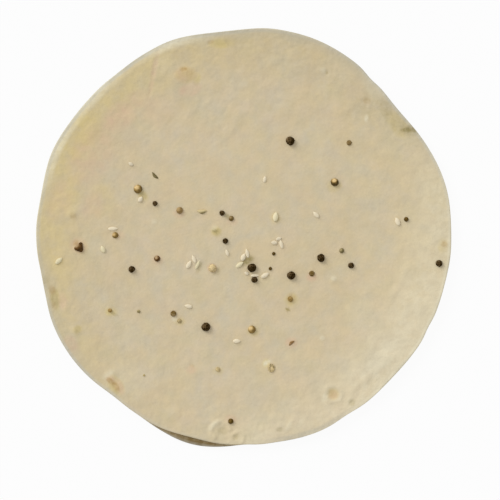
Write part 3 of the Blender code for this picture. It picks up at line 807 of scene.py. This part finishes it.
def flat_slab(radius, thickness):
    """A round slab: a circle filled with a grid, walled down its rim and closed below in rings."""
    deselect_all()
    bpy.ops.mesh.primitive_circle_add(vertices=RIM_STEPS, radius=radius, location=(0.0, 0.0, thickness))
    slab = bpy.context.object
    slab.name = "dough_sheet"
    bpy.ops.object.transform_apply(location=True)
    edit_all(slab)
    bpy.ops.mesh.fill_grid(span=RIM_STEPS // 4)
    bpy.ops.mesh.select_mode(type="EDGE")
    bpy.ops.mesh.select_all(action="DESELECT")
    bpy.ops.mesh.select_non_manifold(extend=False, use_wire=False, use_boundary=True,
                                     use_multi_face=False, use_non_contiguous=False, use_verts=False)
    steps = len(EDGE_SECTION) - 1
    for _ in range(steps):
        bpy.ops.mesh.extrude_edges_move(TRANSFORM_OT_translate={"value": (0.0, 0.0, -thickness / steps)})
    reached = 1.0
    for share in UNDER_RINGS:
        bpy.ops.mesh.extrude_edges_move()
        bpy.ops.transform.resize(value=(share / reached, share / reached, 1.0),
                                 center_override=(0.0, 0.0, 0.0))
        reached = share
    bpy.ops.mesh.extrude_edges_move()
    bpy.ops.mesh.merge(type="CENTER")
    bpy.ops.mesh.select_mode(type="VERT")
    bpy.ops.mesh.select_all(action="SELECT")
    bpy.ops.mesh.normals_make_consistent(inside=False)
    bpy.ops.object.mode_set(mode="OBJECT")
    return slab


def weight_top(slab, thickness):
    """Vertex groups of the top for each size of lump, stronger towards the rim."""
    places = points_of(slab.data)
    radius = np.hypot(places[:, 0], places[:, 1])
    top = places[:, 2] > thickness * 0.99
    outward = ease((radius - LUMPS_GROW_FROM * SHEET_RADIUS) / (LUMPS_GROW_OVER * SHEET_RADIUS))
    inside = ease((SHEET_RADIUS - radius) / LUMPS_FADE)
    for name, _, _, middle_share in LUMPS:
        group = slab.vertex_groups.new(name=name)
        strength = (middle_share + (1.0 - middle_share) * outward) * inside
        for step in range(1, WEIGHT_STEPS + 1):
            near = top & (np.abs(strength - step / WEIGHT_STEPS) <= 0.5 / WEIGHT_STEPS)
            group.add(np.nonzero(near)[0].tolist(), step / WEIGHT_STEPS, "REPLACE")
    return top


def wrinkles(rng):
    """Short creases scattered over the wrinkled patches, in the terms of CREASES."""
    for x, y, half_length, half_width, bearing, count, height in WRINKLES:
        turn = math.radians(bearing)
        for k in range(count):
            along, across = half_length * rng.uniform(-1.0, 1.0), half_width * rng.uniform(-1.0, 1.0)
            middle_x = x + along * math.cos(turn) - across * math.sin(turn)
            middle_y = y + along * math.sin(turn) + across * math.cos(turn)
            half = rng.uniform(*WRINKLE_LENGTHS) / 2
            lean = turn + rng.uniform(-WRINKLE_LEAN, WRINKLE_LEAN)
            step_x, step_y = half * math.cos(lean), half * math.sin(lean)
            rise = height * rng.uniform(0.5, 1.0) * (1.0 if k % 2 else -1.0)
            yield (middle_x - step_x, middle_y - step_y, middle_x + step_x, middle_y + step_y,
                   WRINKLE_REACH, rise)


def work_top(slab, top):
    """Blisters, dents and creases, each pulled up or pressed down with the underside hidden."""
    slab.data.vertices.foreach_set("hide", ~top)
    lines = [([(x, y)], reach, height) for x, y, reach, height in PUSHES]
    for from_x, from_y, to_x, to_y, reach, height in (*CREASES, *wrinkles(random.Random(RANDOM_SEED))):
        steps = int(math.hypot(to_x - from_x, to_y - from_y) / PULL_STEP) + 1
        lines.append(([(from_x + (to_x - from_x) * k / steps, from_y + (to_y - from_y) * k / steps)
                       for k in range(steps + 1)], reach, height))
    for x, y, ring, start, end, reach, height in RINGS:
        steps = int(math.radians(end - start) * ring / PULL_STEP) + 1
        turns = [math.radians(start + (end - start) * k / steps) for k in range(steps + 1)]
        lines.append(([(x + ring * math.cos(t), y + ring * math.sin(t)) for t in turns], reach, height))
    for line, reach, height in lines:
        places = points_of(slab.data)
        chosen = np.zeros(len(places), dtype=bool)
        for x, y in line:
            away = np.hypot(places[:, 0] - x, places[:, 1] - y)
            away[~top] = np.inf
            chosen[np.argmin(away)] = True
        pull(slab, chosen, (0.0, 0.0, height), reach)
    only(slab)
    bpy.ops.object.mode_set(mode="EDIT")
    bpy.ops.mesh.reveal(select=False)
    bpy.ops.object.mode_set(mode="OBJECT")


def all_spices():
    """Every spice as x, y, half-length, half-width, bearing."""
    for x, y, breadth, *_ in PEPPERCORNS + BLACK_SEEDS + CORIANDER_SEEDS + BURST_SEEDS + EMPTY_HUSKS:
        yield x, y, breadth / 2, breadth / 2, 0.0
    for x, y, length, width, bearing, *_ in SESAME_SEEDS + CUMIN_SEEDS:
        yield x, y, length / 2, width / 2, bearing


def oval_share(x, y, middle_x, middle_y, half_length, half_width, bearing):
    """How far places lie from an oval's middle, where its edge is at 1."""
    turn = math.radians(bearing)
    along = (x - middle_x) * math.cos(turn) + (y - middle_y) * math.sin(turn)
    across = (y - middle_y) * math.cos(turn) - (x - middle_x) * math.sin(turn)
    return np.hypot(along / half_length, across / half_width)


def raise_collars(places, top):
    """The dough stands up a little round each spice."""
    x, y = places[top, 0], places[top, 1]
    rise = np.zeros(len(x))
    for spice_x, spice_y, half_length, half_width, bearing in all_spices():
        share = oval_share(x, y, spice_x, spice_y, half_length, half_width, bearing)
        off = (share - 1.0) * half_width / COLLAR_BREADTH
        rise = np.maximum(rise, COLLAR_HEIGHT * np.exp(-off ** 2))
    places[top, 2] += rise


def paint_tints(mesh, top, radius):
    """Masks of each tint of the dough, which its material turns to colour. The radius is the flat slab's."""
    x, y = points_of(mesh)[:, :2].T
    bearing = np.degrees(np.arctan2(y, x))
    masks = {tint: np.zeros(len(x)) for tint in TINT_FRAYS}
    for tint, middle, half_width, start, full, strength in RIM_TINTS:
        zone = ease((radius - start) / (full - start)) * bell(bearing, middle, half_width)
        masks[tint] = np.maximum(masks[tint], strength * zone)
    for tint, middle, half_width, full, gone, strength in RIM_BANDS:
        zone = ease((gone - SHEET_RADIUS + radius) / (gone - full)) * bell(bearing, middle, half_width)
        masks[tint] = np.maximum(masks[tint], strength * zone)
    for tint, rows in (*PATCHES.items(), *SPICE_STAINS_AND_SHADOWS.items()):
        for *oval, strength in in_metres(range(4), rows):
            zone = ease(PATCH_FADES_AT - oval_share(x, y, *oval)) * top
            masks[tint] = np.maximum(masks[tint], strength * zone)
    for tint, mask in masks.items():
        set_attribute(mesh, tint, mask)


def warp_slab(mesh, thickness):
    """Gives the flat slab its uneven rim, its dished form, its lip and its split edge."""
    places = points_of(mesh)
    radius = np.hypot(places[:, 0], places[:, 1])
    bearing = np.degrees(np.arctan2(places[:, 1], places[:, 0]))
    split = bell(bearing, SPLIT_BEARING, SPLIT_HALF_WIDTH)
    outline = rim_reach(bearing) - RIM_INSET
    edge = radius > SHEET_RADIUS - TOLERANCE
    level = np.rint((thickness - places[:, 2]) / thickness * (len(EDGE_SECTION) - 1)).astype(int)
    level = np.clip(level, 0, len(EDGE_SECTION) - 1)
    share, inward, down = np.array(EDGE_SECTION)[level].T
    moved = radius + outline * ease((radius / SHEET_RADIUS - RIM_WARP_FROM) / (1.0 - RIM_WARP_FROM))
    moved = np.where(edge, moved - inward + SPLIT_REACH * split * share, moved)
    height = np.where(edge, thickness - down, places[:, 2])
    lift = sheet_lift(radius, bearing) - np.where(edge, SPLIT_DROOP * split * share, 0.0)
    places[:, :2] *= (moved / np.maximum(radius, TOLERANCE))[:, None]
    places[:, 2] = height + lift
    set_points(mesh, places)
    # The split edge's under layer gets painted shade, as if in shadow under the top layer, darkest a little
    # past the split's middle and lightened again on its outer steps.
    shadiest = bell(bearing, SPLIT_BEARING + SPLIT_SHADE_SKEW, SPLIT_HALF_WIDTH * SPLIT_SHADE_WIDTH_SHARE)
    deeper = SPLIT_SHADE_LEAST + (1.0 - SPLIT_SHADE_LEAST) * shadiest
    split_shade = edge & (level >= UNDER_LAYER_FROM)
    set_attribute(mesh, "split_shade", split_shade * deeper * ease(split * 5.0 - 0.35))
    shade_fading = edge & (level >= SHADE_FADING_FROM)
    set_attribute(mesh, "shade_fading", shade_fading * ease(split * 4.0))


def dough_material(settings):
    """Dried dough: beige, mottled, with frayed tints and a fine grain."""
    finish = Finish("dough", 0.85, 0.18)
    colour = settings.colour
    for tint, size, detail, strength in DOUGH_CLOUDS:
        colour = finish.mix(finish.clouds(size, detail, 0.0, strength), colour, getattr(settings, tint))
    for tint, (size, fray) in TINT_FRAYS.items():
        colour = finish.mix(finish.frayed(tint, size * MM, fray), colour, getattr(settings, tint))
    # Painted shade on the split edge's under layer, lightened on its outer steps by the grey of the
    # outermost rim.
    colour = finish.mix(finish.frayed("split_shade", 2.0 * MM, 0.12), colour, settings.split_shade)
    outer = finish.sum_of("MULTIPLY", finish.frayed("shade_fading", 3.0 * MM, 0.3), 0.35)
    colour = finish.mix(outer, colour, settings.worn)
    shade = finish.clouds(6.0 * MM, 4.0, 0.970, 1.030)
    grain = finish.clouds(0.9 * MM, 2.0, 0.983, 1.015)
    finish.colour(finish.mix(1.0, colour, finish.sum_of("MULTIPLY", shade, grain), "MULTIPLY"))
    finish.link(finish.clouds(2.0 * MM, 2.0, 0.76, 0.92), finish.surface.inputs["Roughness"])
    coarse = finish.clouds(1.7 * MM, 2.0)
    fine = finish.sum_of("MULTIPLY", finish.clouds(0.6 * MM, 3.0), 0.35)
    finish.bump(finish.sum_of("ADD", coarse, fine), 0.065 * MM, 0.7)
    return finish.material


class PAPADUM_OT_dough(bpy.types.Operator):
    """Model the sheet of dough with its uneven rim, its lip, its split edge and its blisters"""

    bl_idname = "papadum.dough"
    bl_label = "Sheet of dough"

    def execute(self, context):
        settings = context.scene.papadum_dough
        thickness = settings.thickness
        slab = flat_slab(settings.radius, thickness)
        top = weight_top(slab, thickness)
        flat_radius = np.hypot(*points_of(slab.data)[:, :2].T)
        warp_slab(slab.data, thickness)
        paint_tints(slab.data, top, flat_radius)
        for name, size, height, _ in LUMPS:
            displace(slab, name, "CLOUDS", size, height, name)
        work_top(slab, top)
        places = points_of(slab.data)
        raise_collars(places, top)
        set_points(slab.data, places)
        slab.vertex_groups.clear()
        only(slab)
        bpy.ops.object.shade_smooth_by_angle(angle=math.radians(SMOOTH_UP_TO))
        finish_piece(slab, dough_material(settings))
        return {"FINISHED"}


# The spices. Each kind is modelled once, of unit half sizes and with its length along X, and copied.

def fit_form(form):
    """Brings a worked form back to unit half sizes about its middle."""
    places = points_of(form.data)
    low, high = places.min(axis=0), places.max(axis=0)
    set_points(form.data, (places - (low + high) / 2) / ((high - low) / 2))


def store_ridges(form, contrast):
    """Paints light on the parts of a round form that stand out and shade on the sunk ones."""
    places = points_of(form.data)
    reach = np.linalg.norm(places, axis=1)
    low, high = np.percentile(reach, (4, 96))
    ridge = np.clip((reach - low) / (high - low), 0.0, 1.0) * 2.0 - 1.0
    set_attribute(form.data, "ridge", contrast * ridge)


def named_form(name):
    """The primitive that was just added, under its name."""
    bpy.context.object.name = name
    return bpy.context.object


def start_ball(name, subdivisions):
    """A ball of unit radius to work on."""
    deselect_all()
    bpy.ops.mesh.primitive_ico_sphere_add(subdivisions=subdivisions, radius=1.0)
    return named_form(name)


def start_spindle(name, meridians, rings, along_x=False):
    """A ball with meridians from pole to pole, its poles up and down or along X."""
    deselect_all()
    bpy.ops.mesh.primitive_uv_sphere_add(segments=meridians, ring_count=rings, radius=1.0)
    form = named_form(name)
    if along_x:
        edit_all(form)
        bpy.ops.transform.rotate(value=math.pi / 2, orient_axis="Y", center_override=(0.0, 0.0, 0.0))
        bpy.ops.object.mode_set(mode="OBJECT")
    return form


def cut_grooves(form, ribs, depth, contrast, along_x=False):
    """Presses every other meridian in, and paints light on the ribs that are left and shade in the grooves.
    """
    x, y, z = points_of(form.data).T
    across, aside = (y, z) if along_x else (x, y)
    wave = np.cos(ribs * np.arctan2(aside, across))
    girth = np.hypot(across, aside)
    off_poles = girth > POLE_GIRTH
    narrower = 1.0 - depth
    squeeze(form, (wave < GROOVE_FROM) & off_poles,
            (1.0, narrower, narrower) if along_x else (narrower, narrower, 1.0))
    set_attribute(form.data, "ridge", contrast * np.where(off_poles, wave, 0.0))


def smooth_form(form):
    """Rounds a worked form off."""
    apply_modifier(form, "rounding", "SUBSURF", levels=1, render_levels=1)


def peppercorn_form():
    """A dried berry: lumpy, with a net of ridges over its sunken skin."""
    form = start_ball("peppercorn_form", 5)
    displace(form, "berry_lumps", "CLOUDS", 0.55, 0.30)
    displace(form, "skin_net", "VORONOI", 0.55, -0.42)
    store_ridges(form, 0.35)
    fit_form(form)
    return form


def black_seed_form():
    """A small round seed with a faint dimpled skin."""
    form = start_ball("black_seed_form", 4)
    displace(form, "seed_lumps", "CLOUDS", 0.6, 0.24)
    displace(form, "seed_pits", "VORONOI", 0.5, -0.12)
    store_ridges(form, 0.2)
    fit_form(form)
    return form


def coriander_form():
    """A round seed with ribs from pole to pole and a small point on top."""
    form = start_spindle("coriander_form", 36, 12)
    cut_grooves(form, 9, 0.09, 0.12)
    places = points_of(form.data)
    pull(form, places[:, 2] > 0.99, (0.0, 0.0, 0.14), 0.3)
    smooth_form(form)
    displace(form, "coriander_skin", "CLOUDS", 0.7, 0.14)
    fit_form(form)
    return form


def sesame_form():
    """A flat drop, a little narrower towards +X, with a shallow hollow along its top."""
    form = start_spindle("sesame_form", 20, 14, along_x=True)
    places = points_of(form.data)
    squeeze(form, places[:, 0] > 0.86, (1.0, 0.7, 0.75), 1.0, (1.0, 0.0, 0.0))
    places = points_of(form.data)
    pull(form, (places[:, 2] > 0.75) & (np.abs(places[:, 0]) < 0.4), (0.0, 0.0, -0.12), 0.4)
    smooth_form(form)
    displace(form, "sesame_skin", "CLOUDS", 0.8, 0.14)
    fit_form(form)
    return form


def cumin_form():
    """A slim bent seed with ribs along it, narrowing to both ends."""
    form = start_spindle("cumin_form", 28, 16, along_x=True)
    cut_grooves(form, 7, 0.20, 0.3, along_x=True)
    for end in (-1.0, 1.0):
        places = points_of(form.data)
        squeeze(form, places[:, 0] * end > 0.9, (1.0, 0.45, 0.6), 0.8, (end, 0.0, 0.0))
    places = points_of(form.data)
    pull(form, np.abs(places[:, 0]) < 0.12, (0.0, 0.45, 0.0), 1.1)
    smooth_form(form)
    fit_form(form)
    return form


def burst_form():
    """A seed burst open at one side: three ragged corners, with a sunken face between two of them."""
    form = start_ball("burst_form", 5)
    for bearing, up, beyond, reach_out, reach in (
        (0.0, 0.0, 0.92, 0.65, 1.15),       # the corners
        (124.0, 0.0, 0.92, 0.6, 1.15),
        (238.0, 0.0, 0.92, 0.6, 1.15),
        (62.0, 0.7, 1.12, -0.2, 0.7),       # the sunken face
        (181.0, 0.0, 0.93, -0.12, 0.6),     # the bays on the other two sides
        (299.0, 0.0, 0.93, -0.12, 0.6),
    ):
        turn = math.radians(bearing)
        out = np.array((math.cos(turn), math.sin(turn), up))
        pull(form, points_of(form.data) @ out > beyond, tuple(reach_out * out), reach)
    displace(form, "burst_skin", "CLOUDS", 0.3, 0.34)
    store_ridges(form, 0.15)
    fit_form(form)
    return form


def husk_form():
    """An empty husk: a thin round cup that lies open side up, with a worn brim."""
    form = start_spindle("husk_form", 48, 24)
    edit_all(form)
    bpy.ops.mesh.bisect(plane_co=(0.0, 0.0, 0.35), plane_no=(0.12, -0.1, 1.0), clear_outer=True)
    bpy.ops.object.mode_set(mode="OBJECT")
    apply_modifier(form, "wall", "SOLIDIFY", thickness=0.34, offset=-1.0)
    apply_modifier(form, "brim", "BEVEL", width=0.09, segments=3)
    displace(form, "husk_skin", "CLOUDS", 0.5, 0.16)
    fit_form(form)
    places = points_of(form.data)
    girth = np.hypot(places[:, 0], places[:, 1])
    set_attribute(form.data, "ridge", 0.6 * ease(1.3 - 2.2 * girth) - 0.15)
    return form


def lit_spot(x, y, half_breadth, bearing):
    """How much lighter a round seed is at a place from its middle, mostly painted highlight: a spot on the
    side with the bearing.
    """
    from_x = x / half_breadth - LIT_SPOT_OUT * math.cos(bearing)
    from_y = y / half_breadth - LIT_SPOT_OUT * math.sin(bearing)
    return ease(1.25 - 1.25 * np.hypot(from_x, from_y))


def lit_corner(x, y, half_breadth, bearing):
    """How much lighter the burst seed is at a place from its middle, mostly painted highlight: a spot at its
    open corner.
    """
    out = LIT_CORNER_OUT * half_breadth
    return lit_spot(x - out * math.cos(bearing), y - out * math.sin(bearing), half_breadth, bearing)


def lit_side(x, y, half_breadth, bearing):
    """How much lighter a long seed is at a place from its middle, mostly painted light: the whole side with
    the bearing.
    """
    return ease(0.5 + (x * math.cos(bearing) + y * math.sin(bearing)) / half_breadth)


def place_copy(form, x, y, half_sizes, bearing, lit_shape, coat, tone, lighter=0.0, lighter_bearing=0.0):
    """A copy of a form with its own mesh, stretched, turned, sunk into the dough and toned."""
    copy = bpy.data.objects.new(form.name + "_copy", form.data.copy())
    bpy.context.scene.collection.objects.link(copy)
    rise = half_sizes[2] * (1.0 - 2.0 * SUNK_SHARE)
    foot = Matrix.Translation((x, y, top_height(x, y))) @ tilt_of_top(x, y)
    turn = Matrix.Rotation(math.radians(bearing), 4, "Z")
    stretch = Matrix.Diagonal((*half_sizes, 1.0))
    copy.data.transform(foot @ Matrix.Translation((0.0, 0.0, rise)) @ turn @ stretch)
    places = points_of(copy.data)
    # The tone adds a painted highlight on the lighter side, and the ridges' painted light and shade, to the
    # coat's own tone.
    lit = lit_shape(places[:, 0] - x, places[:, 1] - y, half_sizes[1], math.radians(lighter_bearing))
    set_attribute(copy.data, "tone", tone + lighter * lit + get_attribute(copy.data, "ridge"))
    colour = (*getattr(bpy.context.scene.papadum_spices, coat), 1.0)
    set_attribute(copy.data, "coat", np.tile(colour, (len(places), 1)))
    return copy


def join_copies(copies, form, name):
    """Joins the copies into one piece at the origin and removes the form they came from."""
    deselect_all()
    for copy in copies:
        copy.select_set(True)
    piece = copies[0]
    bpy.context.view_layer.objects.active = piece
    if len(copies) > 1:
        bpy.ops.object.join()
    piece.name = name
    bpy.data.objects.remove(form, do_unlink=True)
    edit_all(piece)
    bpy.ops.mesh.normals_make_consistent(inside=False)
    bpy.ops.object.mode_set(mode="OBJECT")
    bpy.ops.object.shade_smooth()
    return piece


def round_spices(form, name, table, height_share, rng):
    """Copies of a round form at the places of a table."""
    copies = []
    for x, y, breadth, *coat in table:
        half = breadth / 2
        half_sizes = (half * rng.uniform(*ROUND_LENGTHS), half * rng.uniform(*ROUND_WIDTHS),
                      half * height_share)
        copies.append(place_copy(form, x, y, half_sizes, rng.uniform(0.0, 360.0), lit_spot, *coat))
    return join_copies(copies, form, name)


def long_spices(form, name, table):
    """Copies of a long form at the places and bearings of a table."""
    copies = []
    for x, y, length, width, bearing, *coat in table:
        half_sizes = (length / 2, width / 2, width / 2 * LONG_HEIGHT_SHARE)
        copies.append(place_copy(form, x, y, half_sizes, bearing, lit_side, *coat))
    return join_copies(copies, form, name)


def odd_spices(form, name, table, lit_shape):
    """Copies of a form of uneven sizes at the places and bearings of a table."""
    copies = []
    for x, y, breadth, width_share, height_share, bearing, *coat in table:
        half = breadth / 2
        half_sizes = (half, half * width_share, half * height_share)
        copies.append(place_copy(form, x, y, half_sizes, bearing, lit_shape, *coat))
    return join_copies(copies, form, name)


def spice_material(name):
    """A seed coat: its painted colour, darker where its tone is low and lighter where it is high, the tone
    carrying painted light and shade and the light end a painted glint.
    """
    cloud_size, mottle, roughness, specular, dark, light, glint_share, glint = SPICE_COATS[name]
    finish = Finish(name, roughness, specular)
    coat = finish.painted("coat", "Color")
    clouds = finish.clouds(cloud_size * MM, 3.0, -mottle, mottle)
    tone = finish.sum_of("ADD", finish.painted("tone"), clouds)
    darker = finish.sum_of("MULTIPLY", tone, -1.0, clamp=True)
    lighter = finish.sum_of("MULTIPLY", tone, 1.0, clamp=True)
    # The dark end stands for painted shade and the light end, with its glint, for painted highlight, as well
    # as for the coats' own darker and lighter tones.
    dark_coat = finish.mix(1.0, coat, (dark,) * 3, "MULTIPLY")
    light_coat = finish.mix(glint_share, finish.mix(1.0, coat, (light,) * 3, "MULTIPLY"), glint)
    finish.colour(finish.mix(lighter, finish.mix(darker, coat, dark_coat), light_coat))
    finish.bump(finish.clouds(cloud_size * MM * 0.5, 3.0), 0.04 * MM, 0.5)
    return finish.material


class PAPADUM_OT_peppercorns(bpy.types.Operator):
    """Model the peppercorns and the small black seeds"""

    bl_idname = "papadum.peppercorns"
    bl_label = "Peppercorns and black seeds"

    def execute(self, context):
        rng = random.Random(RANDOM_SEED)
        skin = spice_material("peppercorn")
        corns = round_spices(peppercorn_form(), "peppercorns", PEPPERCORNS, PEPPER_HEIGHT_SHARE, rng)
        finish_piece(corns, skin)
        seeds = round_spices(black_seed_form(), "black_seeds", BLACK_SEEDS, PEPPER_HEIGHT_SHARE, rng)
        finish_piece(seeds, skin)
        return {"FINISHED"}


class PAPADUM_OT_coriander(bpy.types.Operator):
    """Model the round brown seeds, the burst seed and the empty husk"""

    bl_idname = "papadum.coriander"
    bl_label = "Coriander seeds"

    def execute(self, context):
        rng = random.Random(RANDOM_SEED + 1)
        coat = spice_material("coriander")
        seeds = round_spices(coriander_form(), "coriander_seeds", CORIANDER_SEEDS, ROUND_HEIGHT_SHARE, rng)
        burst = odd_spices(burst_form(), "burst_seed", BURST_SEEDS, lit_corner)
        husk = odd_spices(husk_form(), "empty_husk", EMPTY_HUSKS, lit_side)
        for piece in (seeds, burst, husk):
            finish_piece(piece, coat)
        return {"FINISHED"}


class PAPADUM_OT_sesame(bpy.types.Operator):
    """Model the sesame seeds"""

    bl_idname = "papadum.sesame"
    bl_label = "Sesame seeds"

    def execute(self, context):
        seeds = long_spices(sesame_form(), "sesame_seeds", SESAME_SEEDS)
        finish_piece(seeds, spice_material("sesame"))
        return {"FINISHED"}


class PAPADUM_OT_cumin(bpy.types.Operator):
    """Model the cumin seeds"""

    bl_idname = "papadum.cumin"
    bl_label = "Cumin seeds"

    def execute(self, context):
        seeds = long_spices(cumin_form(), "cumin_seeds", CUMIN_SEEDS)
        finish_piece(seeds, spice_material("cumin"))
        return {"FINISHED"}


# The stage.

def floor_material():
    """A white floor that keeps only a trace of the shadows on it."""
    finish = Finish("white_floor", 0.9, 0.0)
    sockets = finish.surface.inputs
    sockets["Base Color"].default_value = (FLOOR_GREY, FLOOR_GREY, FLOOR_GREY, 1.0)
    sockets["Emission Color"].default_value = (1.0, 1.0, 1.0, 1.0)
    sockets["Emission Strength"].default_value = FLOOR_GLOW
    return finish.material


class PAPADUM_OT_stage(bpy.types.Operator):
    """Add the floor, the soft light from the upper left and the camera above"""

    bl_idname = "papadum.stage"
    bl_label = "Stage"

    def execute(self, context):
        settings = context.scene.papadum_stage
        deselect_all()
        bpy.ops.mesh.primitive_plane_add(size=FLOOR_SIZE, location=(0.0, 0.0, -FLOOR_GAP))
        floor = context.object
        floor.name = "floor"
        bpy.ops.object.transform_apply(location=True)
        floor.data.materials.append(floor_material())

        world = bpy.data.worlds.new("white_room")
        world.use_nodes = True
        sky = world.node_tree.nodes["Background"]
        sky.inputs["Color"].default_value = (1.0, 1.0, 1.0, 1.0)
        sky.inputs["Strength"].default_value = settings.fill
        context.scene.world = world

        bpy.ops.object.light_add(type="SUN", location=(0.0, 0.0, 1.0))
        key = context.object
        key.name = "key_light"
        key.data.energy = settings.key
        key.data.angle = settings.key_softness
        turn = Matrix.Rotation(settings.key_bearing, 4, "Z")
        tilt = Matrix.Rotation(math.pi / 2 - settings.key_elevation, 4, "Y")
        key.matrix_world = Matrix.Translation((0.0, 0.0, 1.0)) @ turn @ tilt

        height = VIEW_WIDTH * settings.lens / SENSOR_WIDTH
        bpy.ops.object.camera_add(location=(*VIEW_CENTRE, top_height(0.0, 0.0) + height))
        camera = context.object
        camera.name = "camera"
        camera.rotation_euler = (0.0, 0.0, 0.0)
        camera.data.lens = settings.lens
        camera.data.sensor_width = SENSOR_WIDTH
        camera.data.clip_start = 0.01
        camera.data.dof.use_dof = False
        context.scene.camera = camera
        context.scene.view_settings.view_transform = "Standard"
        return {"FINISHED"}


class PAPADUM_PT_panel(bpy.types.Panel):
    """Lists the steps that make the papadum, with their settings"""

    bl_idname = "PAPADUM_PT_panel"
    bl_label = "Papadum"
    bl_space_type = "VIEW_3D"
    bl_region_type = "UI"
    bl_category = "Papadum"

    def draw(self, context):
        column = self.layout.column()
        for step in STEPS:
            column.operator(step.bl_idname)
        for name, group in SETTINGS:
            box = self.layout.box()
            for setting in group.__annotations__:
                box.prop(getattr(context.scene, name), setting)


STEPS = (
    PAPADUM_OT_dough,
    PAPADUM_OT_peppercorns,
    PAPADUM_OT_coriander,
    PAPADUM_OT_sesame,
    PAPADUM_OT_cumin,
    PAPADUM_OT_stage,
)
SETTINGS = (
    ("papadum_dough", PapadumDoughSettings),
    ("papadum_spices", PapadumSpiceSettings),
    ("papadum_stage", PapadumStageSettings),
)


def register():
    """Adds the settings, the operators and the panel."""
    for name, group in SETTINGS:
        bpy.utils.register_class(group)
        setattr(bpy.types.Scene, name, bpy.props.PointerProperty(type=group))
    for step in STEPS + (PAPADUM_PT_panel,):
        bpy.utils.register_class(step)


def unregister():
    """Takes them away again."""
    for step in reversed(STEPS + (PAPADUM_PT_panel,)):
        bpy.utils.unregister_class(step)
    for name, group in reversed(SETTINGS):
        delattr(bpy.types.Scene, name)
        bpy.utils.unregister_class(group)


def main():
    """Makes the papadum and its stage."""
    register()
    bpy.ops.papadum.dough()
    bpy.ops.papadum.peppercorns()
    bpy.ops.papadum.coriander()
    bpy.ops.papadum.sesame()
    bpy.ops.papadum.cumin()
    bpy.ops.papadum.stage()


if __name__ == "__main__":
    main()
